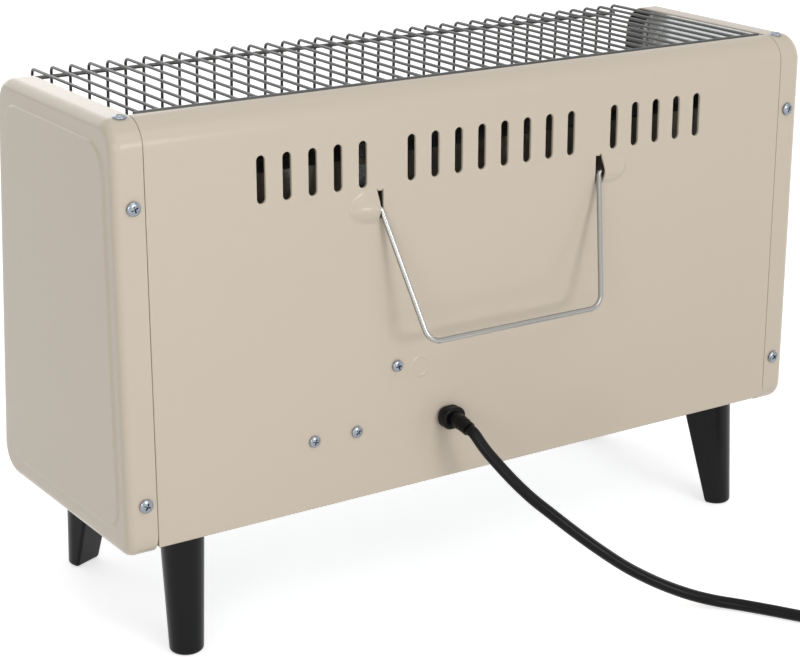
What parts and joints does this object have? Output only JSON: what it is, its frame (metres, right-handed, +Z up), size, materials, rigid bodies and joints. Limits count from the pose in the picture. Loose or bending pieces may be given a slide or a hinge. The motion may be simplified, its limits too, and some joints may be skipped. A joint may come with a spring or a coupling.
{
  "type": "infrared heater",
  "caption": "Low portable infrared heater with pressed steel end panels, open wire guard, quartz tubes, splayed legs, folding wire bail and a coiled mains lead.",
  "frame": {"origin": "on the floor, under the middle of the heater's box, its lead left out", "axes": "+X along the width, to the right as seen from the front; +Y from front to rear; +Z up"},
  "size_m": [0.478, 0.4998, 0.3122],
  "materials": {
    "cream_enamel": "gloss stoved enamel",
    "black_leg": "satin moulded",
    "zinc_screw": "bright zinc plate",
    "ceramic": "unglazed ceramic",
    "milky_quartz": "milky quartz glass",
    "element_wire": "oxidised resistance alloy",
    "galvanised_sheet": "galvanised",
    "lead_sleeving": "woven glass sleeving",
    "bright_aluminium": "bright rolled",
    "guard_wire": "dull zinc-plated wire",
    "bail_wire": "bright plated wire",
    "knob_plastic": "semi-gloss moulded",
    "switch_plastic": "moulded",
    "black_rubber": "smooth",
    "plug_plastic": "moulded"
  },
  "bodies": {
    "heater": {"end_panel_left": "cream_enamel", "end_panel_right": "cream_enamel", "rear_panel": "cream_enamel", "front_fascia": "cream_enamel", "leg_rear_right": "black_leg", "leg_front_right": "black_leg", "leg_rear_left": "black_leg", "leg_front_left": "black_leg", "leg_screw_rear_right": "zinc_screw", "leg_screw_front_right": "zinc_screw", "leg_screw_rear_left": "zinc_screw", "leg_screw_front_left": "zinc_screw", "panel_screw_right_upper": "zinc_screw", "panel_screw_right_lower": "zinc_screw", "panel_screw_left_upper": "zinc_screw", "panel_screw_left_lower": "zinc_screw", "top_screw_right": "zinc_screw", "top_screw_left": "zinc_screw", "front_screw_right": "zinc_screw", "front_screw_left": "zinc_screw", "tip_switch_screw_1": "zinc_screw", "tip_switch_screw_2": "zinc_screw", "earth_screw": "zinc_screw", "earth_nut": "zinc_screw", "tube_cap_upper_right": "ceramic", "tube_cap_upper_left": "ceramic", "tube_cap_lower_right": "ceramic", "tube_cap_lower_left": "ceramic", "terminal_block": "ceramic", "quartz_tube_upper": "milky_quartz", "quartz_tube_lower": "milky_quartz", "heating_element_upper": "element_wire", "heating_element_lower": "element_wire", "tube_holder_right": "galvanised_sheet", "tube_holder_left": "galvanised_sheet", "base_pan": "galvanised_sheet", "lead_bridge": "lead_sleeving", "lead_upper": "lead_sleeving", "lead_lower": "lead_sleeving", "lead_supply": "lead_sleeving", "reflector": "bright_aluminium", "front_guard": "guard_wire", "selector_switch": "switch_plastic", "tip_over_switch": "switch_plastic", "thermal_cutout": "galvanised_sheet", "strain_relief": "black_rubber", "cord_run": "black_rubber", "cord_coil": "black_rubber", "cord_tie": "switch_plastic", "plug": "plug_plastic"},
    "bail": {"bail_handle": "bail_wire"},
    "knob": {"control_knob": "knob_plastic"}
  },
  "joints": [
    {"name": "bail_hinge", "type": "hinge", "parent": "heater", "child": "bail", "pos_m": [0, 0.08399, 0.2445], "axis": [1, 0, 0], "range_deg": [0, 141]},
    {"name": "knob_turn", "type": "hinge", "parent": "heater", "child": "knob", "pos_m": [0.16, -0.09083, 0.108], "axis": [0, 0.9944, -0.1057], "range_deg": [0, 90]}
  ]
}
